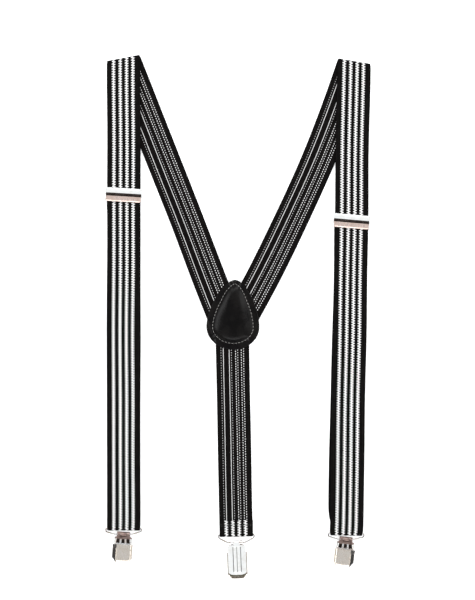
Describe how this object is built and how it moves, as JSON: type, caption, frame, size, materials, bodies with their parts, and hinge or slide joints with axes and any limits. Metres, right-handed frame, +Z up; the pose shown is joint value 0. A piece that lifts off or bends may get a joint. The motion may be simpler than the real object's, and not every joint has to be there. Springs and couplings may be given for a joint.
{
  "type": "suspenders",
  "caption": "Y-back clip-on suspenders in striped elastic webbing, with a leather back patch, metal length adjusters and flip-lever trouser clips.",
  "frame": {"origin": "on the table, under the middle of the box round the whole object laid flat", "axes": "+Z up from the table, +Y from the clips towards the shoulder folds, +X to the right seen from above"},
  "size_m": [0.2756, 0.5434, 0.0096],
  "materials": {
    "black_webbing": "woven elastic, black with white warp stripes",
    "black_leather": "smooth semi-gloss, edge stitched",
    "nickel_steel": "polished nickel plate",
    "dark_pad": "matt dark plastic"
  },
  "bodies": {
    "straps": {"left_strap": "black_webbing", "right_strap": "black_webbing", "back_strap": "black_webbing", "left_strap_tail": "black_webbing", "right_strap_tail": "black_webbing", "outer_patch": "black_leather", "inner_patch": "black_leather"},
    "left_ring": {"left_ring": "nickel_steel"},
    "left_clip": {"left_clip_back_plate": "nickel_steel", "left_clip_back_pad": "dark_pad", "left_clip_pin": "nickel_steel"},
    "left_clip_jaw": {"left_clip_front_jaw": "nickel_steel", "left_clip_front_pad": "dark_pad"},
    "left_clip_lever": {"left_clip_lever": "nickel_steel"},
    "right_ring": {"right_ring": "nickel_steel"},
    "right_clip": {"right_clip_back_plate": "nickel_steel", "right_clip_back_pad": "dark_pad", "right_clip_pin": "nickel_steel"},
    "right_clip_jaw": {"right_clip_front_jaw": "nickel_steel", "right_clip_front_pad": "dark_pad"},
    "right_clip_lever": {"right_clip_lever": "nickel_steel"},
    "back_ring": {"back_ring": "nickel_steel"},
    "back_clip": {"back_clip_back_plate": "nickel_steel", "back_clip_back_pad": "dark_pad", "back_clip_pin": "nickel_steel"},
    "back_clip_jaw": {"back_clip_front_jaw": "nickel_steel", "back_clip_front_pad": "dark_pad"},
    "back_clip_lever": {"back_clip_lever": "nickel_steel"},
    "left_adjuster": {"left_adjuster_frame": "nickel_steel"},
    "left_adjuster_lever": {"left_adjuster_lever": "nickel_steel"},
    "right_adjuster": {"right_adjuster_frame": "nickel_steel"},
    "right_adjuster_lever": {"right_adjuster_lever": "nickel_steel"}
  },
  "joints": [
    {"name": "left_ring_swing", "type": "hinge", "parent": "straps", "child": "left_ring", "pos_m": [-0.1184, -0.219, 0.00255], "axis": [-1, 0.0006, 0], "range_deg": [-45, 45]},
    {"name": "left_clip_swing", "type": "hinge", "parent": "left_ring", "child": "left_clip", "pos_m": [-0.1184, -0.225, 0.00255], "axis": [-1, 0.0006, 0], "range_deg": [-45, 45]},
    {"name": "left_clip_lever_flip", "type": "hinge", "parent": "left_clip", "child": "left_clip_lever", "pos_m": [-0.11916, -0.23577, 0.00645], "axis": [-0.9975, 0.0704, 0], "range_deg": [0, 100]},
    {"name": "left_clip_jaw_open", "type": "hinge", "parent": "left_clip", "child": "left_clip_jaw", "pos_m": [-0.1184, -0.225, 0.00255], "axis": [-0.9975, 0.0704, 0], "range_deg": [0, 4.5]},
    {"name": "right_ring_swing", "type": "hinge", "parent": "straps", "child": "right_ring", "pos_m": [0.1121, -0.2242, 0.00255], "axis": [-0.9999, 0.0168, 0], "range_deg": [-45, 45]},
    {"name": "right_clip_swing", "type": "hinge", "parent": "right_ring", "child": "right_clip", "pos_m": [0.112, -0.2302, 0.00255], "axis": [-0.9999, 0.0168, 0], "range_deg": [-45, 45]},
    {"name": "right_clip_lever_flip", "type": "hinge", "parent": "right_clip", "child": "right_clip_lever", "pos_m": [0.11078, -0.24093, 0.00645], "axis": [-0.9936, 0.1126, 0], "range_deg": [0, 100]},
    {"name": "right_clip_jaw_open", "type": "hinge", "parent": "right_clip", "child": "right_clip_jaw", "pos_m": [0.112, -0.2302, 0.00255], "axis": [-0.9936, 0.1126, 0], "range_deg": [0, 4.5]},
    {"name": "back_ring_swing", "type": "hinge", "parent": "straps", "child": "back_ring", "pos_m": [-0.0016, -0.2252, 0.0042], "axis": [-0.9998, -0.0209, 0], "range_deg": [-45, 45]},
    {"name": "back_clip_swing", "type": "hinge", "parent": "back_ring", "child": "back_clip", "pos_m": [-0.00143, -0.23331, 0.00675], "axis": [-0.9998, -0.0209, 0], "range_deg": [-45, 45]},
    {"name": "back_clip_lever_flip", "type": "hinge", "parent": "back_clip", "child": "back_clip_lever", "pos_m": [-0.00102, -0.2441, 0.00285], "axis": [0.9993, 0.0383, 0], "range_deg": [0, 100]},
    {"name": "back_clip_jaw_open", "type": "hinge", "parent": "back_clip", "child": "back_clip_jaw", "pos_m": [-0.00143, -0.23331, 0.00675], "axis": [0.9993, 0.0383, 0], "range_deg": [0, 4.5]},
    {"name": "left_adjuster_slide", "type": "slide", "parent": "straps", "child": "left_adjuster", "axis": [-0.0006, -1, 0], "range_m": [0, 0.24], "deforming": ["left_strap_tail"]},
    {"name": "left_adjuster_lever_flip", "type": "hinge", "parent": "left_adjuster", "child": "left_adjuster_lever", "pos_m": [-0.11816, 0.1265, 0.0061], "axis": [-0.9982, 0.0599, 0], "range_deg": [0, 90]},
    {"name": "right_adjuster_slide", "type": "slide", "parent": "straps", "child": "right_adjuster", "axis": [-0.0168, -0.9999, 0], "range_m": [0, 0.24], "deforming": ["right_strap_tail"]},
    {"name": "right_adjuster_lever_flip", "type": "hinge", "parent": "right_adjuster", "child": "right_adjuster_lever", "pos_m": [0.11757, 0.09925, 0.0061], "axis": [-0.9963, 0.0865, 0], "range_deg": [0, 90]}
  ],
  "couplings": [
    {"joint": "left_clip_jaw_open", "follows": "left_clip_lever_flip", "ratio": 0.045},
    {"joint": "right_clip_jaw_open", "follows": "right_clip_lever_flip", "ratio": 0.045},
    {"joint": "back_clip_jaw_open", "follows": "back_clip_lever_flip", "ratio": 0.045}
  ]
}
